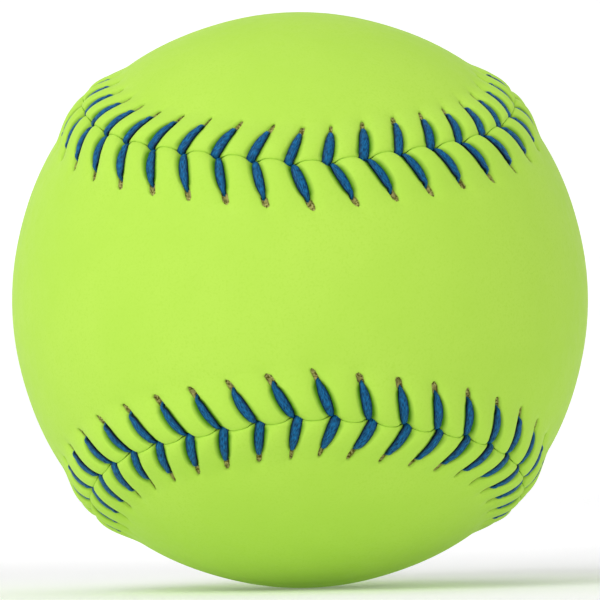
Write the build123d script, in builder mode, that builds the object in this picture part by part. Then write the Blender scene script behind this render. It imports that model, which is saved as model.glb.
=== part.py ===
from build123d import *
from bisect import bisect_right
from math import cos, pi, sin, sqrt
import os

# Softball: two figure-eight cover panels, cemented over a foam core and sewn together edge to edge.
# The origin is the ball's centre, +Z is up, and the front panel's narrow waist faces -Y.
# All sizes are in millimetres.

# Ball and cover layers
ball_diameter = 97.0
skin_thickness = 1.2
backing_thickness = 1.0
cement_thickness = 0.3

# Seam line: narrowest width of a panel over the ball, and how strongly its lobes swell (no unit)
waist_width = 40.7
lobe_swell = 0.41

# Raised edge of each panel along the seam
welt_rise = 1.6
welt_radius = 11.0
crest_offset = 2.4
seam_gap = 0.3
cement_margin = 8.6

# Stitches: the thread comes up through a slit hole, crosses the panel and dives into the seam
stitch_count = 88
thread_diameter = 1.0
hole_offset = 5.9
hole_lag = 2.1
hole_length = 3.8
notch_length = 4.4
notch_width = 2.4
thread_sink = 0.1
bend_reach = 1.0

# Clearances
hole_play = 0.6
thread_play = 0.05
core_play = 0.15
cement_play = 0.03

# Construction: pairs of arcs round the seam, steps for its length, and how far cutters overshoot
seam_arc_pairs = 16
seam_steps = 4000
overshoot = 2.0

FRONT = 1
REAR = -1

radius = ball_diameter / 2
cover_thickness = skin_thickness + backing_thickness
core_radius = radius - cover_thickness - cement_thickness
vertex_offset = thread_diameter / 2 + thread_play
hidden_height = core_radius - radius + core_play + thread_diameter / 2


def seam_direction(turn):
    """Direction from the centre to the seam; the two panels are alike, a quarter turn apart."""
    latitude = (pi / 2 - waist_width / ball_diameter) * sin(2 * turn)
    longitude = turn - lobe_swell * sin(4 * turn)
    x = cos(latitude) * cos(longitude)
    y = cos(latitude) * sin(longitude)
    z = sin(latitude)
    return Vector((x - y) / sqrt(2), -z, (x + y) / sqrt(2))


def seam_marks():
    """Length of seam from its start to each step round the ball."""
    marks = [0.0]
    for step in range(seam_steps):
        here = seam_direction(2 * pi * step / seam_steps)
        there = seam_direction(2 * pi * (step + 1) / seam_steps)
        marks.append(marks[-1] + radius * (there - here).length)
    return marks


seam_mark = seam_marks()
seam_length = seam_mark[-1]
stitch_pitch = seam_length / stitch_count


def on_ball(along, across, height):
    """Point at a length along the seam, a distance across it to the front, and a height off the ball."""
    wrapped = along % seam_length
    step = min(bisect_right(seam_mark, wrapped) - 1, seam_steps - 1)
    share = (wrapped - seam_mark[step]) / (seam_mark[step + 1] - seam_mark[step])
    turn = 2 * pi * (step + share) / seam_steps
    nudge = pi / seam_steps
    outward = seam_direction(turn)
    forward = (seam_direction(turn + nudge) - seam_direction(turn - nudge)).normalized()
    sideways = outward.cross(forward)
    angle = across / radius
    return (outward * cos(angle) + sideways * sin(angle)) * (radius + height)


def station(route, where, sign=1):
    """A point on a route with the direction of travel there."""
    nudge = 0.02
    heading = (route(where + nudge) - route(where - nudge)).normalized()
    return route(where), heading * sign


def arcs_through(stations):
    """Two arcs between each pair of stations, tangent to their headings and to each other."""
    arcs = []
    for (start, start_heading), (end, end_heading) in zip(stations, stations[1:]):
        span = end - start
        both = span.dot(start_heading + end_heading)
        bend = 2 * (1 - start_heading.dot(end_heading))
        reach = span.dot(span) / (both + sqrt(both**2 + bend * span.dot(span)))
        middle = (start + end + (start_heading - end_heading) * reach) * 0.5
        chord = middle - start
        middle_heading = chord * (2 * chord.dot(start_heading) / chord.dot(chord)) - start_heading
        arcs.append(Edge.make_tangent_arc(start, start_heading, middle))
        arcs.append(Edge.make_tangent_arc(middle, middle_heading, end))
    return arcs


def tube_along(stations, tube_radius):
    start, heading = stations[0]
    with BuildPart() as tube:
        with BuildLine() as path:
            add(arcs_through(stations))
        with BuildSketch(Plane(origin=start, z_dir=heading)):
            Circle(tube_radius)
        sweep(path=path.wire())
    return tube.part


def seam_loop(across, height):
    """Stations all the way round, beside the seam and at a height off the ball."""
    lengths = [seam_length * i / seam_arc_pairs for i in range(seam_arc_pairs + 1)]
    return [station(lambda along: on_ball(along, across, height), length) for length in lengths]


def seam_wall(across):
    """Thin upright wall beside the seam, to cut a layer into its front and rear pieces."""
    low = arcs_through(seam_loop(across, -cover_thickness - cement_thickness - overshoot))
    high = arcs_through(seam_loop(across, welt_rise + overshoot))
    return Shell([Face.make_surface_from_curves(a, b) for a, b in zip(low, high)])


def envelope(side, depth):
    """Everything inside the cover at a depth below its surface, the raised edge of one side included."""
    spine = seam_loop(side * crest_offset, welt_rise - welt_radius)
    with BuildPart() as body:
        Sphere(radius - depth)
        add(tube_along(spine, welt_radius - depth))
    return body.part


def welt_height(across):
    return welt_rise - welt_radius + sqrt(welt_radius**2 - (abs(across) - crest_offset) ** 2)


def side_piece(solids, side):
    """The front panel lies towards -Y and the rear panel towards +Y."""
    ordered = solids.sort_by(Axis.Y)
    return ordered[0] if side == FRONT else ordered[-1]


def leg_route(stitch, side):
    """Line of the visible thread over one panel, by its distance from the seam."""
    middle = (stitch + 0.5) * stitch_pitch
    vertex = middle - side * vertex_offset
    hole = middle - hole_lag

    def route(across):
        along = vertex + (hole - vertex) * across / hole_offset
        return on_ball(along, side * across, welt_height(across) - thread_sink)

    return route


def hidden_route(stitch, side):
    """Line of the thread under the other panel, from one seam notch towards the next hole."""
    vertex = (stitch + 0.5) * stitch_pitch - side * vertex_offset
    hole = (stitch + 1.5) * stitch_pitch - hole_lag

    def route(across):
        along = vertex + (hole - vertex) * across / hole_offset
        return on_ball(along, -side * across, hidden_height)

    return route


def stitch_stations(stitch, side):
    """Up through the hole, over the panel, down into the seam and under the other panel."""
    over = leg_route(stitch, side)
    under = hidden_route(stitch, side)
    hole = on_ball((stitch + 0.5) * stitch_pitch - hole_lag, side * hole_offset, hidden_height + bend_reach)
    gap = on_ball((stitch + 0.5) * stitch_pitch - side * vertex_offset, 0, 0)
    dive = under(bend_reach) - gap
    return [
        (hole, hole.normalized()),
        station(over, hole_offset - bend_reach, -1),
        station(over, bend_reach, -1),
        (gap, dive.normalized()),
        station(under, 2 * bend_reach),
        station(under, hole_offset - bend_reach),
    ]


def thread_stations(first_side):
    """One needle's thread: it changes panel at every stitch and ends under the cover."""
    stations = [station(hidden_route(-1, -first_side), hole_offset - bend_reach)]
    for stitch in range(stitch_count):
        side = first_side if stitch % 2 == 0 else -first_side
        stations += stitch_stations(stitch, side)
    return stations[:-1]


def lens(length, width):
    """Slit outline, pointed at both ends, as an awl leaves it."""
    tip = length / 2
    with BuildLine() as outline:
        SagittaArc((-tip, 0), (tip, 0), width / 2)
        SagittaArc((tip, 0), (-tip, 0), width / 2)
    make_face(outline.edges())


def seam_notches():
    """Openings in the panels' edges where the two threads of each stitch dive side by side."""
    top = welt_rise + overshoot
    with BuildPart() as notches:
        for stitch in range(stitch_count):
            notch, forward = station(lambda along: on_ball(along, 0, top), (stitch + 0.5) * stitch_pitch)
            with BuildSketch(Plane(origin=notch, x_dir=forward, z_dir=notch)):
                lens(notch_length, notch_width)
        extrude(amount=-(top + cover_thickness + overshoot))
    return notches.part


def skin_slits(side):
    """Slit holes through the skin of one panel, in line with the thread that lies beside each."""
    top = welt_rise + overshoot
    with BuildPart() as slits:
        for stitch in range(stitch_count):
            middle = (stitch + 0.5) * stitch_pitch
            slit = on_ball(middle - hole_lag, side * hole_offset, top)
            vertex = on_ball(middle - side * vertex_offset, 0, top)
            with BuildSketch(Plane(origin=slit, x_dir=vertex - slit, z_dir=slit)):
                lens(hole_length, thread_diameter + hole_play)
        extrude(amount=-(top + cover_thickness + overshoot))
    return slits.part


def backing_holes(side):
    """Round holes that the needle pierces through the backing of one panel."""
    top = welt_rise + overshoot
    with BuildPart() as holes:
        for stitch in range(stitch_count):
            hole = on_ball((stitch + 0.5) * stitch_pitch - hole_lag, side * hole_offset, top)
            with BuildSketch(Plane(origin=hole, z_dir=hole)):
                Circle((thread_diameter + hole_play) / 2)
        extrude(amount=-(top + cover_thickness + overshoot))
    return holes.part


def furrows(side):
    """Grooves that the visible threads press into the skin of one panel."""
    ends = (hole_offset - bend_reach / 2, bend_reach / 2)
    tubes = []
    for stitch in range(stitch_count):
        route = leg_route(stitch, side)
        stations = [station(route, across, -1) for across in ends]
        tubes.append(tube_along(stations, thread_diameter / 2 + thread_play))
    return tubes


def cover_block(side):
    """Both layers of one panel, cut off along the seam."""
    with BuildPart() as block:
        add(envelope(side, 0))
        add(envelope(side, cover_thickness), mode=Mode.SUBTRACT)
        split(bisect_by=seam_wall(side * seam_gap / 2), keep=Keep.ALL)
        add(side_piece(block.solids(), side), mode=Mode.REPLACE)
    return block.part


def panel_skin(block, side):
    with BuildPart() as skin:
        add(block)
        add(envelope(side, skin_thickness), mode=Mode.SUBTRACT)
        add(skin_slits(side), mode=Mode.SUBTRACT)
        add(seam_notches(), mode=Mode.SUBTRACT)
        add(furrows(side), mode=Mode.SUBTRACT)
        add(skin.solids().sort_by(SortBy.VOLUME)[-1], mode=Mode.REPLACE)
    return skin.part


def panel_backing(block, side):
    with BuildPart() as backing:
        add(block)
        add(envelope(side, skin_thickness), mode=Mode.INTERSECT)
        add(backing_holes(side), mode=Mode.SUBTRACT)
        add(seam_notches(), mode=Mode.SUBTRACT)
    return backing.part


def panel_cement(side):
    """Film of cement where the panel lies on the core, clear of the hollow under the seam."""
    with BuildPart() as cement:
        Sphere(radius - cover_thickness - cement_play)
        Sphere(core_radius + cement_play, mode=Mode.SUBTRACT)
        split(bisect_by=seam_wall(side * cement_margin), keep=Keep.ALL)
        add(side_piece(cement.solids(), side), mode=Mode.REPLACE)
    return cement.part


os.makedirs("parts", exist_ok=True)

with BuildPart() as core:
    Sphere(core_radius)

pieces = {"core": core.part}
for name, side in (("front", FRONT), ("rear", REAR)):
    block = cover_block(side)
    pieces[f"{name}_skin"] = panel_skin(block, side)
    pieces[f"{name}_backing"] = panel_backing(block, side)
    pieces[f"{name}_cement"] = panel_cement(side)
for name, side in (("one", FRONT), ("two", REAR)):
    pieces[f"thread_{name}"] = tube_along(thread_stations(side), thread_diameter / 2)

for name, piece in pieces.items():
    piece.label = name
    export_step(piece, f"parts/{name}.step")
    print(name, round(piece.volume, 1), len(piece.solids()))
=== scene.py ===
import math
import bpy
import numpy as np
from mathutils import Euler, Matrix, Vector
from mathutils.geometry import delaunay_2d_cdt


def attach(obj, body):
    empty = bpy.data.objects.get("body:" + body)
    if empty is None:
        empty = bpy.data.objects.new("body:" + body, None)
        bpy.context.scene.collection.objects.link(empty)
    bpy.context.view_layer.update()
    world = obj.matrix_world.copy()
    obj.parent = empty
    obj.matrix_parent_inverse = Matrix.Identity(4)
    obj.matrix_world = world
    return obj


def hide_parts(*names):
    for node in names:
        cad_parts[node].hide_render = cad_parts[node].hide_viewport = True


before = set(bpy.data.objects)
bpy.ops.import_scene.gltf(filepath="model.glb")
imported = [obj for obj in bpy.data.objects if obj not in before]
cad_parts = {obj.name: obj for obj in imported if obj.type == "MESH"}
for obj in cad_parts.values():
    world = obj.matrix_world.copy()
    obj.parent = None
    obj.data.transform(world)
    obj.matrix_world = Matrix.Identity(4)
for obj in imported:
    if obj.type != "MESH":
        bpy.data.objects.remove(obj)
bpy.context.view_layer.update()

# Sizes are in millimetres and angles in radians, in the frame of the solids; MM turns sizes into metres
MM = 0.001
BALL_RADIUS = 48.5
WAIST_WIDTH = 40.7
LOBE_SWELL = 0.41
STITCHES = 88
FRONT = 1
REAR = -1

# Raised edge of each panel beside the seam, on a broad low swell
WELT_RISE = 1.3
WELT_CREST = 1.8
WELT_REACH = 9.0
SWELL_RISE = 0.42
SWELL_START = 6.0
SWELL_REACH = 26.0
EDGE_DROP = 0.42
EDGE_SOFTNESS = 0.55
STRIP_WIDTH = 10.5

# Seam line: between stitches the front panel's edge bulges over the rear panel's
EDGE_BULGE = 0.45
BULGE_FADE = 1.2
EDGE_GAP = 0.01
NOTCH_WIDTH = 1.1
VERTEX_DIP = 0.85
VERTEX_FADE = 1.4
VERTEX_GAP = 0.15
VERTEX_WIDTH = 1.3
# VERTEX_SHADE is how much painted shade the paint puts round each stitch's middle
VERTEX_SHADE = 0.5

# Holes beside the seam, and the oval slit and dimple round each
HOLE_OFFSET = 5.9
HOLE_LAG = 2.1
LAG_SWING = 0.6
VERTEX_OFFSET = 0.42
SLIT_CENTRE = 6.45
SLIT_HALF_LENGTH = 1.2
SLIT_HALF_WIDTH = 0.52
SLIT_DEPTH = 0.55
# SLIT_SHADE: distances from the seam over which painted shadow in each slit gives way to the plain fibre
SLIT_SHADE = (5.5, 6.7)
SLIT_WALL = (-0.06, 0.12)
SLIT_BLUNTNESS = 3
DIMPLE_DEPTH = 0.45
DIMPLE_HALF_WIDTH = 1.2
DIMPLE_HALF_LENGTH = 1.7

# Furrows that the legs of thread press into the cover, and pillows between them
FURROW_DEPTH = 0.58
FURROW_MARGIN = 0.45
FURROW_BLUNTNESS = 3
FURROW_FADE_IN = (-0.5, 1.5)
FURROW_FADE_OUT = (4.6, 6.8)
PILLOW_RISE = 0.3

# Legs of thread: half widths at distances from the seam, half thickness, and the places of their stations
LEG_PLACES = (0.0, 1.1, 2.4, 3.8, 4.8, 5.4)
LEG_WIDTHS = {FRONT: (0.43, 0.68, 0.84, 0.8, 0.62, 0.43), REAR: (0.78, 0.87, 0.88, 0.78, 0.59, 0.42)}
LEG_THICKNESS = 0.38
LEG_SINK = 0.1
LEG_STATIONS = (5.35, 4.7, 3.9, 3.0, 2.1, 1.3, 0.75)
LEG_FLOOR_END = 5.1

# Thread where it bends into its hole, bends into the seam, and runs hidden under the cover
ROUND_RADIUS = 0.4
BEND_RADIUS = 0.36
HOLE_BEND = 5.75
HOLE_BEND_DROP = 0.6
HOLE_BEND_TILT = 1.2
HOLE_BOTTOM = -1.0
SEAM_BEND = 0.25
SEAM_BEND_TILT = -0.8
SEAM_DIVE = -0.1
SEAM_DIVE_TILT = -1.3
SEAM_BOTTOM = -0.5
HIDDEN_RADIUS = 0.45
HIDDEN_HEIGHT = -1.85
HIDDEN_SHARES = (0.14, 0.4, 0.7, 0.92)

# Make-up of the strand: its plies, their twist, and the flecks of its filaments
THREAD_PLIES = 6
PLY_RELIEF = 0.07
PLY_MIDDLE = 0.6
TWIST_PER_MM = 0.12
FILAMENTS_AROUND = 26.0
FLECKS_PER_MM = 1.4

# Mesh densities: depths of rows down the edge's wall, then start, end and spacing of each band of rows
COLUMNS_PER_STITCH = 20
COLUMN_CROWDING = 0.6
WALL_ROWS = (1.6, 1.0, 0.55, 0.25, 0.08)
EDGE_ROWS = (0.0, 1.2, 0.12)
CREST_ROWS = (1.2, 4.8, 0.3)
HOLE_ROWS = (4.8, 8.1, 0.17)
FLANK_START = 8.2
FLANK_ROW_COUNT = 6
PATCH_SPACING = 1.3
SEAM_SAMPLES = 8000
SEARCH_STEP = 0.8
THREAD_SIDES = 24
STEPS_PER_STATION = 3
MERGE_DISTANCE = 1e-9

# Colours as linear light
LEATHER = (0.478, 0.775, 0.085)
LEATHER_PALE = (0.498, 0.79, 0.093)
LEATHER_PORE = (0.463, 0.765, 0.078)
# Painted shade, in the furrows beside the legs and round each stitch's middle
LEATHER_PAINTED_SHADE = (0.07, 0.26, 0.004)
FIBRE_DARK = (0.10, 0.09, 0.01)
FIBRE_PALE = (0.56, 0.52, 0.18)
# Painted shadow on the fibre at the end of each slit nearest its thread
FIBRE_SHADE = (0.05, 0.04, 0.01)
THREAD_BLUE = (0.006, 0.165, 0.40)
THREAD_DARK = (0.001, 0.035, 0.105)
# Painted shade down the sides of the thread
THREAD_SIDE_SHADE = (0.001, 0.010, 0.03)
FLEECE = ((0.08, 0.07, 0.012), (0.46, 0.41, 0.14))
FOAM = ((0.60, 0.48, 0.28), (0.70, 0.58, 0.36))
CEMENT = ((0.50, 0.40, 0.22), (0.62, 0.52, 0.32))
PAPER = ((0.89, 0.89, 0.89), (0.91, 0.91, 0.91))

# Grain and sheen: noise cells per metre, relief in millimetres, and spans over which looks change
MOTTLE_SCALE = 70.0
MOTTLE_SPAN = (0.35, 0.65)
PORE_SCALE = 2600.0
PORE_SPAN = (0.3, 0.5)
PORE_RELIEF = 0.06
PEBBLE_SCALE = 700.0
PEBBLE_RELIEF = 0.12
SHEEN_SCALE = 500.0
SHEEN_SPAN = (0.3, 0.7)
LEATHER_ROUGHNESS = (0.46, 0.58)
LEATHER_SPECULAR = 0.08
LEATHER_BUMP = 0.25
# Spans of the painted shade in the furrows and round each stitch's middle
PAINTED_SHADE_SPAN = (0.16, 0.75)
PAINTED_SHADE_STRENGTH = 0.95
FIBRE_SCALE = 2800.0
FIBRE_SPAN = (0.38, 0.62)
SLIT_SPAN = (0.35, 0.8)
FLECK_SPAN = (0.35, 0.65)
# CROWN_SPAN: where the painted shade down the thread's sides gives way to its plain blue
CROWN_SPAN = (0.35, 0.95)
THREAD_SPECULAR = 0.15
FILAMENT_BUMP = 0.6
FILAMENT_RELIEF = 0.1
LAYER_SPAN = (0.3, 0.7)
LAYER_BUMP = 0.5
LAYER_DETAIL = 4.0
FINE_DETAIL = 3.0
PAPER_SCALE = 3.0

# Studio: a round paper floor whose glow stands for lamps behind it, two softboxes and a pale sky
FLOOR_GLOW = 0.13
BACKDROP_GLOW = 0.2
BEHIND_GLOW = 0.16
BEHIND_WIDTH = 0.35
SKY_GLOW = 0.44
NEAR_FLOOR = 150.0
GLOW_START = 400.0
FLOOR_RADIUS = 2000.0
FLOOR_BEND = 600.0
BACKDROP_HEIGHT = 1500.0
BEND_STEPS = 12
STAGE_SIDES = 64
KEY_PLACE = (-900.0, -1100.0, 1200.0)
KEY_SIZE = 1200.0
KEY_POWER = 13.8
TOP_PLACE = (0.0, 200.0, 1600.0)
TOP_SIZE = 1600.0
TOP_POWER = 4.0

# Camera: it faces the front panel's waist; BALL_TURN is how far the photographed ball was turned
CAMERA_DISTANCE = 808.3
FOCAL_LENGTH = 287.5
SENSOR_WIDTH = 36.0
NEAREST_SEEN = 10.0
BALL_TURN = (-0.034, -0.0199, 0.0443)

# Each stitch differs a little from the next, by these shares
VARIATION = {"furrow_depth": 0.12, "slit_length": 0.12, "slit_width": 0.12, "leg_width": 0.06}
VARIATION_LIMIT = 2
RANDOM_SEED = 12
rng = np.random.default_rng(RANDOM_SEED)
varied = {}
for side in (FRONT, REAR):
    for size, share in VARIATION.items():
        draws = np.clip(rng.normal(0, 1, STITCHES), -VARIATION_LIMIT, VARIATION_LIMIT)
        varied[side, size] = 1 + share * draws


def seam_direction(turn):
    """Unit directions from the ball's centre to the seam."""
    latitude = (math.pi / 2 - WAIST_WIDTH / (2 * BALL_RADIUS)) * np.sin(2 * turn)
    longitude = turn - LOBE_SWELL * np.sin(4 * turn)
    x = np.cos(latitude) * np.cos(longitude)
    y = np.cos(latitude) * np.sin(longitude)
    z = np.sin(latitude)
    return np.stack([(x - y) / math.sqrt(2), -z, (x + y) / math.sqrt(2)], axis=-1)


seam_turns = np.linspace(0, 2 * math.pi, SEAM_SAMPLES + 1)
seam_steps = np.linalg.norm(np.diff(seam_direction(seam_turns), axis=0), axis=1) * BALL_RADIUS
seam_marks = np.concatenate([[0.0], np.cumsum(seam_steps)])
SEAM_LENGTH = seam_marks[-1]
PITCH = SEAM_LENGTH / STITCHES


def seam_axes(along):
    """Outward, forward and sideways directions at lengths along the seam."""
    turn = np.interp(along % SEAM_LENGTH, seam_marks, seam_turns)
    nudge = math.pi / SEAM_SAMPLES
    outward = seam_direction(turn)
    forward = seam_direction(turn + nudge) - seam_direction(turn - nudge)
    forward /= np.linalg.norm(forward, axis=-1, keepdims=True)
    return outward, forward, np.cross(outward, forward)


def on_ball(along, across, height):
    """Points at lengths along the seam, distances across it to the front, and heights off the ball."""
    outward, _, sideways = seam_axes(along)
    angle = (across / BALL_RADIUS)[..., None]
    radius = (BALL_RADIUS + height)[..., None]
    return (outward * np.cos(angle) + sideways * np.sin(angle)) * radius


def smooth(low, high, value):
    """A step from 0 at low to 1 at high, level at both ends."""
    share = np.clip((value - low) / (high - low), 0, 1)
    return share * share * (3 - 2 * share)


def mound(value, width):
    """A bell that is 1 at zero and fades over its width."""
    return np.exp(-((value / width) ** 2))


def hole_lag(side, stitch):
    """How far a hole lies behind its stitch's middle: more at a panel's waist, less round its lobes."""
    return HOLE_LAG + side * LAG_SWING * np.sin(4 * math.pi * (stitch + 0.5) / STITCHES)


def leg_shift(side, stitch, across):
    """How far along the seam a leg's axis lies from the stitch's middle, at a distance from the seam."""
    share = np.minimum(across, WELT_REACH) / HOLE_OFFSET
    return -side * VERTEX_OFFSET * (1 - share) - hole_lag(side, stitch) * share


def leg_width(side, across):
    """Half width of a leg at a distance from the seam."""
    return np.interp(across, LEG_PLACES, LEG_WIDTHS[side])


def swell_height(across):
    """Height of the broad low swell that carries the welt."""
    return SWELL_RISE * (1 - smooth(SWELL_START, SWELL_REACH, across))


def from_middle(along):
    """Signed length along the seam to the nearest stitch's middle."""
    return (along + PITCH / 2) % PITCH - PITCH / 2


def seam_bulge(along):
    """How far the seam line lies to the rear, at lengths from a stitch's middle."""
    return EDGE_BULGE * (1 - mound(from_middle(along + VERTEX_OFFSET), NOTCH_WIDTH))


def welt_height(across, x):
    """The raised edge, with a low pillow on each side of a leg."""
    flank = 1 - smooth(WELT_CREST, WELT_REACH, across)
    pillow = -0.5 * PILLOW_RISE * np.cos(2 * math.pi * x / PITCH)
    return swell_height(across) + flank * (WELT_RISE + pillow) - EDGE_DROP * np.exp(-across / EDGE_SOFTNESS)


def furrow_share(side, stitch, x, across):
    """How deep a point lies in its leg's furrow, as a share of the full depth."""
    ends = smooth(*FURROW_FADE_IN, across) * (1 - smooth(*FURROW_FADE_OUT, across))
    walls = np.exp(-((np.abs(x) / (leg_width(side, across) + FURROW_MARGIN)) ** FURROW_BLUNTNESS))
    return varied[side, "furrow_depth"][stitch] * ends * walls


def slit_share(side, stitch, x, across):
    """How far a point lies inside the oval slit at a leg's hole."""
    half_length = SLIT_HALF_LENGTH * varied[side, "slit_length"][stitch]
    reach = np.maximum(1 - np.abs((across - SLIT_CENTRE) / half_length) ** SLIT_BLUNTNESS, 0)
    half_width = SLIT_HALF_WIDTH * varied[side, "slit_width"][stitch] * np.sqrt(reach)
    return smooth(*SLIT_WALL, half_width - np.abs(x)) * (reach > 0)


def vertex_share(side, x):
    """How near a point lies to the middle of a stitch, where the thread pulls both edges down."""
    return mound(from_middle(x - side * VERTEX_OFFSET), VERTEX_WIDTH)


def cover_height(side, stitch, x, across):
    """Height of the cover off the ball, at a length along the seam from a leg's axis."""
    dimple = mound(x, DIMPLE_HALF_WIDTH) * mound(across - SLIT_CENTRE, DIMPLE_HALF_LENGTH)
    height = welt_height(across, x) - DIMPLE_DEPTH * dimple
    height = height - VERTEX_DIP * vertex_share(side, x) * np.exp(-across / VERTEX_FADE)
    height = height - FURROW_DEPTH * furrow_share(side, stitch, x, across)
    return height - SLIT_DEPTH * slit_share(side, stitch, x, across)


def strip_rows():
    """Distances from the seam of the mesh rows, and how far each lies down the edge's wall."""
    bands = [np.arange(*band) for band in (EDGE_ROWS, CREST_ROWS, HOLE_ROWS)]
    flank = np.linspace(FLANK_START, STRIP_WIDTH, FLANK_ROW_COUNT)
    across = np.concatenate([np.zeros(len(WALL_ROWS)), *bands, flank])
    drop = np.zeros(len(across))
    drop[: len(WALL_ROWS)] = WALL_ROWS
    return across, drop


def panel_strip(side):
    """The sewn edge of one panel as a closed band of rows and columns, with marks for its paint."""
    share = np.arange(COLUMNS_PER_STITCH) / COLUMNS_PER_STITCH - 0.5
    crowded = PITCH * (share - COLUMN_CROWDING * np.sin(2 * math.pi * share) / (2 * math.pi))
    x = np.tile(crowded, STITCHES)[:, None]
    stitch = np.repeat(np.arange(STITCHES), COLUMNS_PER_STITCH)[:, None]
    across, drop = (row[None, :] for row in strip_rows())
    height = cover_height(side, stitch, x, across) - drop
    bulge = seam_bulge(x - side * VERTEX_OFFSET)
    edge = EDGE_GAP + VERTEX_GAP * vertex_share(side, x) - side * bulge
    along = (stitch + 0.5) * PITCH + x + leg_shift(side, stitch, across)
    points = on_ball(along, side * (across + edge * np.exp(-across / BULGE_FADE)), height)
    slit = slit_share(side, stitch, x, across)
    dip = vertex_share(side, x) * np.exp(-across / VERTEX_FADE)
    # Painted shade: deep in each furrow, and round each stitch's middle where the edges dip
    painted_shade = furrow_share(side, stitch, x, across) + VERTEX_SHADE * dip
    # slit_end is low at the thread's end of each slit, where the paint puts painted shadow on the fibre
    return points, {"slit": slit, "slit_end": slit * smooth(*SLIT_SHADE, across), "painted_shade": painted_shade}


def patch_points(side):
    """Evenly spread points on the smooth middle of one panel."""
    count = int(4 * math.pi * BALL_RADIUS**2 / PATCH_SPACING**2)
    # A spiral from pole to pole by the golden angle
    index = np.arange(count) + 0.5
    z = 1 - 2 * index / count
    turn = index * math.pi * (3 - math.sqrt(5))
    ring = np.sqrt(1 - z * z)
    spread = np.stack([ring * np.cos(turn), ring * np.sin(turn), z], axis=1)
    outward, _, sideways = seam_axes(np.arange(0, SEAM_LENGTH, SEARCH_STEP))
    nearest = np.argmax(spread @ outward.T, axis=1)
    closeness = np.einsum("ij,ij->i", spread, outward[nearest])
    away = np.arccos(np.clip(closeness, -1, 1)) * BALL_RADIUS
    facing = np.sign(np.einsum("ij,ij->i", spread, sideways[nearest]))
    inside = (facing == side) & (away > STRIP_WIDTH + PATCH_SPACING / 2)
    return spread[inside] * (BALL_RADIUS + swell_height(away[inside]))[:, None]


def flatten(points, side):
    """Stereographic map of directions about the middle of a panel's waist."""
    unit = points / np.linalg.norm(points, axis=1, keepdims=True)
    spread = 1 - side * unit[:, 1]
    return np.stack([unit[:, 0] / spread, unit[:, 2] / spread], axis=1)


def add_object(name, data):
    """A new object in the scene."""
    made = bpy.data.objects.new(name, data)
    bpy.context.scene.collection.objects.link(made)
    return made


def add_mesh(name, points, faces, material):
    """A smooth-shaded mesh of points in millimetres."""
    mesh = bpy.data.meshes.new(name)
    mesh.from_pydata((points * MM).tolist(), [], faces)
    mesh.polygons.foreach_set("use_smooth", np.ones(len(mesh.polygons), bool))
    mesh.materials.append(material)
    return add_object(name, mesh)


def add_values(piece, name, values):
    """One number on each point of a mesh, for its paint to read."""
    layer = piece.data.attributes.new(name, "FLOAT", "POINT")
    layer.data.foreach_set("value", np.asarray(values, np.float32))


def strip_faces(columns, rows, side):
    """Four-sided faces of a closed band, facing outward."""
    column, row = np.meshgrid(np.arange(columns), np.arange(rows - 1), indexing="ij")
    here = column * rows + row
    beside = (column + 1) % columns * rows + row
    corners = [here, beside, beside + 1, here + 1]
    if side == REAR:
        corners.reverse()
    return np.stack(corners, axis=-1).reshape(-1, 4).tolist()


def patch_faces(points, rim, side):
    """Triangles that fill a panel inside its rim; the points after the rim's band lie in the middle."""
    known = np.concatenate([rim, np.arange(rim[-1] + 1, len(points))])
    flat = [Vector(spot) for spot in flatten(points[known], side)]
    loop = [(i, (i + 1) % len(rim)) for i in range(len(rim))]
    inside_only = 1
    found = delaunay_2d_cdt(flat, loop, [], inside_only, MERGE_DISTANCE)
    triangles, origins = found[2], found[3]
    faces = []
    for triangle in triangles:
        corners = [int(known[origins[i][0]]) for i in triangle]
        a, b, c = points[corners]
        outward = np.dot(np.cross(b - a, c - a), a) > 0
        faces.append(corners if outward else corners[::-1])
    return faces


def cover_panel(name, side, material):
    """One panel as a single mesh: its sewn edge, and the smooth middle that fills it."""
    strip, marks = panel_strip(side)
    columns, rows = strip.shape[:2]
    middle = patch_points(side)
    points = np.concatenate([strip.reshape(-1, 3), middle])
    rim = np.arange(columns) * rows + rows - 1
    faces = strip_faces(columns, rows, side) + patch_faces(points, rim, side)
    piece = add_mesh(name, points, faces, material)
    for mark, values in marks.items():
        add_values(piece, mark, np.concatenate([values.reshape(-1), np.zeros(len(middle))]))
    return piece


def leg_station(side, stitch, across, height, tilt, width, thickness):
    """Centre, upper direction tilted away from the seam, half width and half thickness on a leg."""
    along = np.array((stitch + 0.5) * PITCH + leg_shift(side, stitch, max(across, 0.0)))
    centre = on_ball(along, np.array(side * across), np.array(height))
    outward = centre / np.linalg.norm(centre)
    _, _, sideways = seam_axes(along)
    upper = outward * math.cos(tilt) + sideways * side * math.sin(tilt)
    return [*centre, *upper, width, thickness]


def furrow_floor(side, stitch, across):
    """Height of the cover under a leg's axis, held level past the end of the furrow's floor."""
    across = min(across, LEG_FLOOR_END)
    return float(cover_height(side, stitch, np.array(0.0), np.array(across)))


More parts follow.
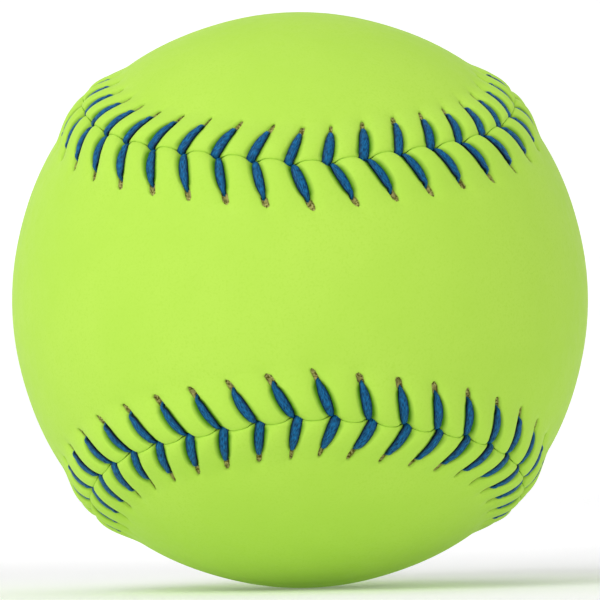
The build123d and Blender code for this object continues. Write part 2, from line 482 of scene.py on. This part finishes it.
def leg_stations(side, stitch):
    """One leg: up through its hole, along its furrow, over the edge and down into the seam."""
    hole_rise = furrow_floor(side, stitch, LEG_FLOOR_END) - HOLE_BEND_DROP
    shapes = [(HOLE_OFFSET, HOLE_BOTTOM, math.pi / 2, ROUND_RADIUS, ROUND_RADIUS)]
    shapes.append((HOLE_BEND, hole_rise, HOLE_BEND_TILT, BEND_RADIUS, BEND_RADIUS))
    for across in LEG_STATIONS:
        width = leg_width(side, across) * varied[side, "leg_width"][stitch]
        height = furrow_floor(side, stitch, across) + LEG_THICKNESS - LEG_SINK
        shapes.append((across, height, 0.0, width, LEG_THICKNESS))
    seam_rise = furrow_floor(side, stitch, 2 * SEAM_BEND) - LEG_SINK
    shapes.append((SEAM_BEND, seam_rise, SEAM_BEND_TILT, LEG_WIDTHS[side][0], BEND_RADIUS))
    shapes.append((SEAM_DIVE, SEAM_BOTTOM, SEAM_DIVE_TILT, ROUND_RADIUS, ROUND_RADIUS))
    return [leg_station(side, stitch, *shape) for shape in shapes]


def hidden_stations(side, stitch):
    """The run under the other panel, from the seam to the next stitch's hole there."""
    seam = -side * VERTEX_OFFSET
    hole = PITCH - hole_lag(-side, stitch + 1)
    stations = []
    for share in HIDDEN_SHARES:
        along = np.array((stitch + 0.5) * PITCH + seam + (hole - seam) * share)
        centre = on_ball(along, np.array(-side * HOLE_OFFSET * share), np.array(HIDDEN_HEIGHT))
        upper = centre / np.linalg.norm(centre)
        stations.append([*centre, *upper, HIDDEN_RADIUS, HIDDEN_RADIUS])
    return stations


def thread_stations(first_side):
    """Stations along one needle's thread, which changes sides and turns over at every stitch."""
    rows = []
    for stitch in range(STITCHES):
        turned = 1 if stitch % 2 == 0 else -1
        side = first_side * turned
        for row in leg_stations(side, stitch) + hidden_stations(side, stitch):
            rows.append([*row[:3], *(turned * part for part in row[3:6]), *row[6:]])
    return np.array(rows)


def curve_through(values, steps):
    """Smooth curve through rows of numbers, with a few steps between each pair."""
    before = np.concatenate([values[:1], values[:-1]])
    after = np.concatenate([values[1:], values[-1:]])
    beyond = np.concatenate([values[2:], values[-1:], values[-1:]])
    parts = []
    for t in np.arange(steps) / steps:
        part = 2 * values + (after - before) * t
        part = part + (2 * before - 5 * values + 4 * after - beyond) * t**2
        part = part + (3 * values - before - 3 * after + beyond) * t**3
        parts.append(part / 2)
    return np.stack(parts, axis=1).reshape(-1, values.shape[1])[:-steps]


def unit_rows(rows):
    """Rows scaled to unit length."""
    return rows / np.linalg.norm(rows, axis=1, keepdims=True)


def tube_faces(count, sides):
    """Faces of a tube of rings, closed at both ends."""
    ring, here = np.meshgrid(np.arange(count - 1) * sides, np.arange(sides), indexing="ij")
    beside = (here + 1) % sides
    corners = [ring + here, ring + beside, ring + sides + beside, ring + sides + here]
    faces = np.stack(corners, axis=-1).reshape(-1, 4).tolist()
    faces.append(list(range(sides - 1, -1, -1)))
    faces.append(list(range((count - 1) * sides, count * sides)))
    return faces


def sewing_thread(name, first_side, material):
    """One needle's thread: an unbroken strand of twisted plies, flattened where it lies on the cover."""
    path = curve_through(thread_stations(first_side), STEPS_PER_STATION)
    centre, upper, width, thick = path[:, :3], path[:, 3:6], path[:, 6:7], path[:, 7:8]
    heading = unit_rows(np.gradient(centre, axis=0))
    upper = unit_rows(upper - heading * np.sum(upper * heading, axis=1, keepdims=True))
    beside = np.cross(heading, upper)
    run = np.concatenate([[0.0], np.cumsum(np.linalg.norm(np.diff(centre, axis=0), axis=1))])
    turn = 2 * math.pi * np.arange(THREAD_SIDES) / THREAD_SIDES
    twisted = turn[None, :] + TWIST_PER_MM * run[:, None]
    ply = 1 + PLY_RELIEF * (np.abs(np.cos(THREAD_PLIES * twisted / 2)) - PLY_MIDDLE)
    sideward = (np.cos(turn)[None, :] * width * ply)[..., None]
    upward = (np.sin(turn)[None, :] * thick * ply)[..., None]
    points = centre[:, None, :] + beside[:, None, :] * sideward + upper[:, None, :] * upward
    count = len(centre)
    piece = add_mesh(name, points.reshape(-1, 3), tube_faces(count, THREAD_SIDES), material)
    add_values(piece, "filament", (FILAMENTS_AROUND * twisted / (2 * math.pi)).reshape(-1))
    add_values(piece, "fleck", np.repeat(FLECKS_PER_MM * run, THREAD_SIDES))
    # crown is 1 at the top and bottom of the strand and 0 at its sides, for painted shade down the sides
    add_values(piece, "crown", np.tile(np.abs(np.sin(turn)), count))
    return piece


class Paint:
    """A node material under construction; noise scales are per metre, and bump depths in millimetres."""

    # Places of the colour sockets on a mix node
    first_colour = 6
    second_colour = 7
    mixed_colour = 2

    def __init__(self, name, roughness=0.5, specular=0.5):
        self.material = bpy.data.materials.new(name)
        self.material.use_nodes = True
        self.tree = self.material.node_tree
        self.sockets = self.tree.nodes["Principled BSDF"].inputs
        self.sockets["Roughness"].default_value = roughness
        self.sockets["Specular IOR Level"].default_value = specular

    def node(self, kind, **settings):
        made = self.tree.nodes.new(kind)
        for key, value in settings.items():
            setattr(made, key, value)
        return made

    def link(self, source, target):
        self.tree.links.new(source, target)

    def set(self, socket, source):
        self.link(source, self.sockets[socket])

    def value(self, name):
        """A number that add_values wrote on the mesh."""
        return self.node("ShaderNodeAttribute", attribute_name=name).outputs["Fac"]

    def noise(self, scale, detail=2.0, vector=None):
        made = self.node("ShaderNodeTexNoise")
        made.inputs["Scale"].default_value = scale
        made.inputs["Detail"].default_value = detail
        self.link(vector or self.node("ShaderNodeTexCoord").outputs["Object"], made.inputs["Vector"])
        return made.outputs["Fac"]

    def spread(self, value, low, high, to_low=0.0, to_high=1.0):
        """A value stretched from one span to another, and held inside it."""
        made = self.node("ShaderNodeMapRange")
        limits = {"From Min": low, "From Max": high, "To Min": to_low, "To Max": to_high}
        for socket, number in limits.items():
            made.inputs[socket].default_value = number
        self.link(value, made.inputs["Value"])
        return made.outputs["Result"]

    def mix(self, share, first, second):
        made = self.node("ShaderNodeMix", data_type="RGBA")
        self.link(share, made.inputs["Factor"])
        for place, colour in ((self.first_colour, first), (self.second_colour, second)):
            socket = made.inputs[place]
            if isinstance(colour, tuple):
                socket.default_value = (*colour, 1)
            else:
                self.link(colour, socket)
        return made.outputs[self.mixed_colour]

    def bump(self, value, strength, depth, normal=None):
        made = self.node("ShaderNodeBump")
        made.inputs["Strength"].default_value = strength
        made.inputs["Distance"].default_value = depth * MM
        self.link(value, made.inputs["Height"])
        if normal is not None:
            self.link(normal, made.inputs["Normal"])
        return made.outputs["Normal"]


def cover_paint():
    """Optic yellow-green leather with a fine grain, painted shade in its furrows and round each stitch's
    middle, tan fibre in its slits with painted shadow at their thread's end.
    """
    paint = Paint("cover_leather", specular=LEATHER_SPECULAR)
    colour = paint.mix(paint.spread(paint.noise(MOTTLE_SCALE), *MOTTLE_SPAN), LEATHER, LEATHER_PALE)
    grain = paint.noise(PORE_SCALE, FINE_DETAIL)
    colour = paint.mix(paint.spread(grain, *PORE_SPAN), LEATHER_PORE, colour)
    # Painted shade in the furrows and round each stitch's middle
    painted_shade = paint.spread(paint.value("painted_shade"), *PAINTED_SHADE_SPAN, to_high=PAINTED_SHADE_STRENGTH)
    colour = paint.mix(painted_shade, colour, LEATHER_PAINTED_SHADE)
    fibres = paint.mix(paint.spread(paint.noise(FIBRE_SCALE), *FIBRE_SPAN), FIBRE_DARK, FIBRE_PALE)
    # Painted shadow on the fibre at the thread's end of each slit
    fibres = paint.mix(paint.value("slit_end"), FIBRE_SHADE, fibres)
    colour = paint.mix(paint.spread(paint.value("slit"), *SLIT_SPAN), colour, fibres)
    paint.set("Base Color", colour)
    paint.set("Roughness", paint.spread(paint.noise(SHEEN_SCALE), *SHEEN_SPAN, *LEATHER_ROUGHNESS))
    pores = paint.bump(grain, LEATHER_BUMP, PORE_RELIEF)
    paint.set("Normal", paint.bump(paint.noise(PEBBLE_SCALE), LEATHER_BUMP, PEBBLE_RELIEF, pores))
    return paint.material


def thread_paint():
    """Blue thread, flecked by its twisted filaments, with painted shade down its sides."""
    paint = Paint("waxed_thread", specular=THREAD_SPECULAR)
    lanes = paint.node("ShaderNodeCombineXYZ")
    paint.link(paint.value("filament"), lanes.inputs["X"])
    paint.link(paint.value("fleck"), lanes.inputs["Y"])
    filament = paint.noise(scale=1.0, detail=FINE_DETAIL, vector=lanes.outputs["Vector"])
    colour = paint.mix(paint.spread(filament, *FLECK_SPAN), THREAD_DARK, THREAD_BLUE)
    # Painted shade down the thread's sides
    colour = paint.mix(paint.spread(paint.value("crown"), *CROWN_SPAN), THREAD_SIDE_SHADE, colour)
    paint.set("Base Color", colour)
    paint.set("Normal", paint.bump(filament, FILAMENT_BUMP, FILAMENT_RELIEF))
    return paint.material


def grainy_paint(name, colours, scale, roughness, depth):
    """Two colours mixed by a noise that also gives the relief, for the layers inside."""
    paint = Paint(name, roughness)
    grain = paint.noise(scale, LAYER_DETAIL)
    paint.set("Base Color", paint.mix(paint.spread(grain, *LAYER_SPAN), *colours))
    paint.set("Normal", paint.bump(grain, LAYER_BUMP, depth))
    return paint.material


def dress(node, material):
    """Give a solid of the frame its material."""
    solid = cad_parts[node]
    solid.data.materials.clear()
    solid.data.materials.append(material)


def stand_in(piece, node):
    """Let a finer mesh take the place of a solid."""
    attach(piece, "root")
    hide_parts(node)


# Cover panels and threads
cover = cover_paint()
thread = thread_paint()
for name, side in (("front", FRONT), ("rear", REAR)):
    stand_in(cover_panel(f"{name}_panel", side, cover), f"{name}_skin")
for name, side in (("one", FRONT), ("two", REAR)):
    stand_in(sewing_thread(f"sewing_thread_{name}", side, thread), f"thread_{name}")

# Solids inside the cover
fleece = grainy_paint("backing_fleece", FLEECE, scale=1700.0, roughness=0.95, depth=0.1)
film = grainy_paint("cement_film", CEMENT, scale=900.0, roughness=0.5, depth=0.05)
dress("core", grainy_paint("core_foam", FOAM, scale=1500.0, roughness=0.8, depth=0.1))
for name in ("front", "rear"):
    dress(f"{name}_backing", fleece)
    dress(f"{name}_cement", film)


def add_camera():
    """A camera that looks along +Y, carried round the ball against the ball's turn."""
    data = bpy.data.cameras.new("camera")
    data.lens = FOCAL_LENGTH
    data.sensor_width = SENSOR_WIDTH
    data.clip_start = NEAREST_SEEN * MM
    view = add_object("camera", data)
    facing = Matrix(((1, 0, 0), (0, 0, -1), (0, 1, 0)))
    undo = Euler(BALL_TURN, "XYZ").to_matrix().transposed()
    place = undo @ Vector((0, -CAMERA_DISTANCE * MM, 0))
    view.matrix_world = Matrix.Translation(place) @ (undo @ facing).to_4x4()
    bpy.context.scene.camera = view


def add_softbox(name, place, size, power):
    """A round lamp that faces the ball."""
    data = bpy.data.lights.new(name, "AREA")
    data.shape = "DISK"
    data.size = size * MM
    data.energy = power
    lamp = add_object(name, data)
    lamp.location = Vector(place) * MM
    lamp.rotation_euler = (-Vector(place)).to_track_quat("-Z", "Y").to_euler()


def add_sky():
    """Even white light from all round."""
    world = bpy.data.worlds.new("studio")
    bpy.context.scene.world = world
    world.use_nodes = True
    sky = world.node_tree.nodes["Background"].inputs
    sky["Color"].default_value = (1, 1, 1, 1)
    sky["Strength"].default_value = SKY_GLOW


def paper_paint():
    paint = Paint("studio_paper", roughness=0.9, specular=0.1)
    paint.set("Base Color", paint.mix(paint.noise(PAPER_SCALE), *PAPER))
    paint.sockets["Emission Color"].default_value = (1, 1, 1, 1)
    paint.set("Emission Strength", paint.value("glow"))
    return paint.material


def add_floor():
    """A round white floor that sweeps up into a backdrop on every side, and glows most behind the ball."""
    profile = [(NEAR_FLOOR, 0.0), (GLOW_START, 0.0)]
    for angle in np.linspace(0, math.pi / 2, BEND_STEPS + 1):
        reach = FLOOR_RADIUS + FLOOR_BEND * math.sin(angle)
        profile.append((reach, FLOOR_BEND * (1 - math.cos(angle))))
    profile.append((FLOOR_RADIUS + FLOOR_BEND, BACKDROP_HEIGHT))
    turns = 2 * math.pi * np.arange(STAGE_SIDES) / STAGE_SIDES
    points = [(r * math.cos(t), r * math.sin(t), z - BALL_RADIUS) for r, z in profile for t in turns]
    faces = [list(range(STAGE_SIDES))]
    for ring in range(len(profile) - 1):
        inner = ring * STAGE_SIDES
        outer = inner + STAGE_SIDES
        for here in range(STAGE_SIDES):
            beside = (here + 1) % STAGE_SIDES
            faces.append([inner + here, outer + here, outer + beside, inner + beside])
    floor = add_mesh("studio_floor", np.array(points), faces, paper_paint())
    behind = BACKDROP_GLOW + BEHIND_GLOW * mound(turns - math.pi / 2, BEHIND_WIDTH)
    glow = np.tile(behind, len(profile))
    glow[:STAGE_SIDES] = FLOOR_GLOW
    add_values(floor, "glow", glow)


add_camera()
add_floor()
add_sky()
add_softbox("key_light", KEY_PLACE, KEY_SIZE, KEY_POWER)
add_softbox("top_light", TOP_PLACE, TOP_SIZE, TOP_POWER)
bpy.context.scene.view_settings.view_transform = "Standard"
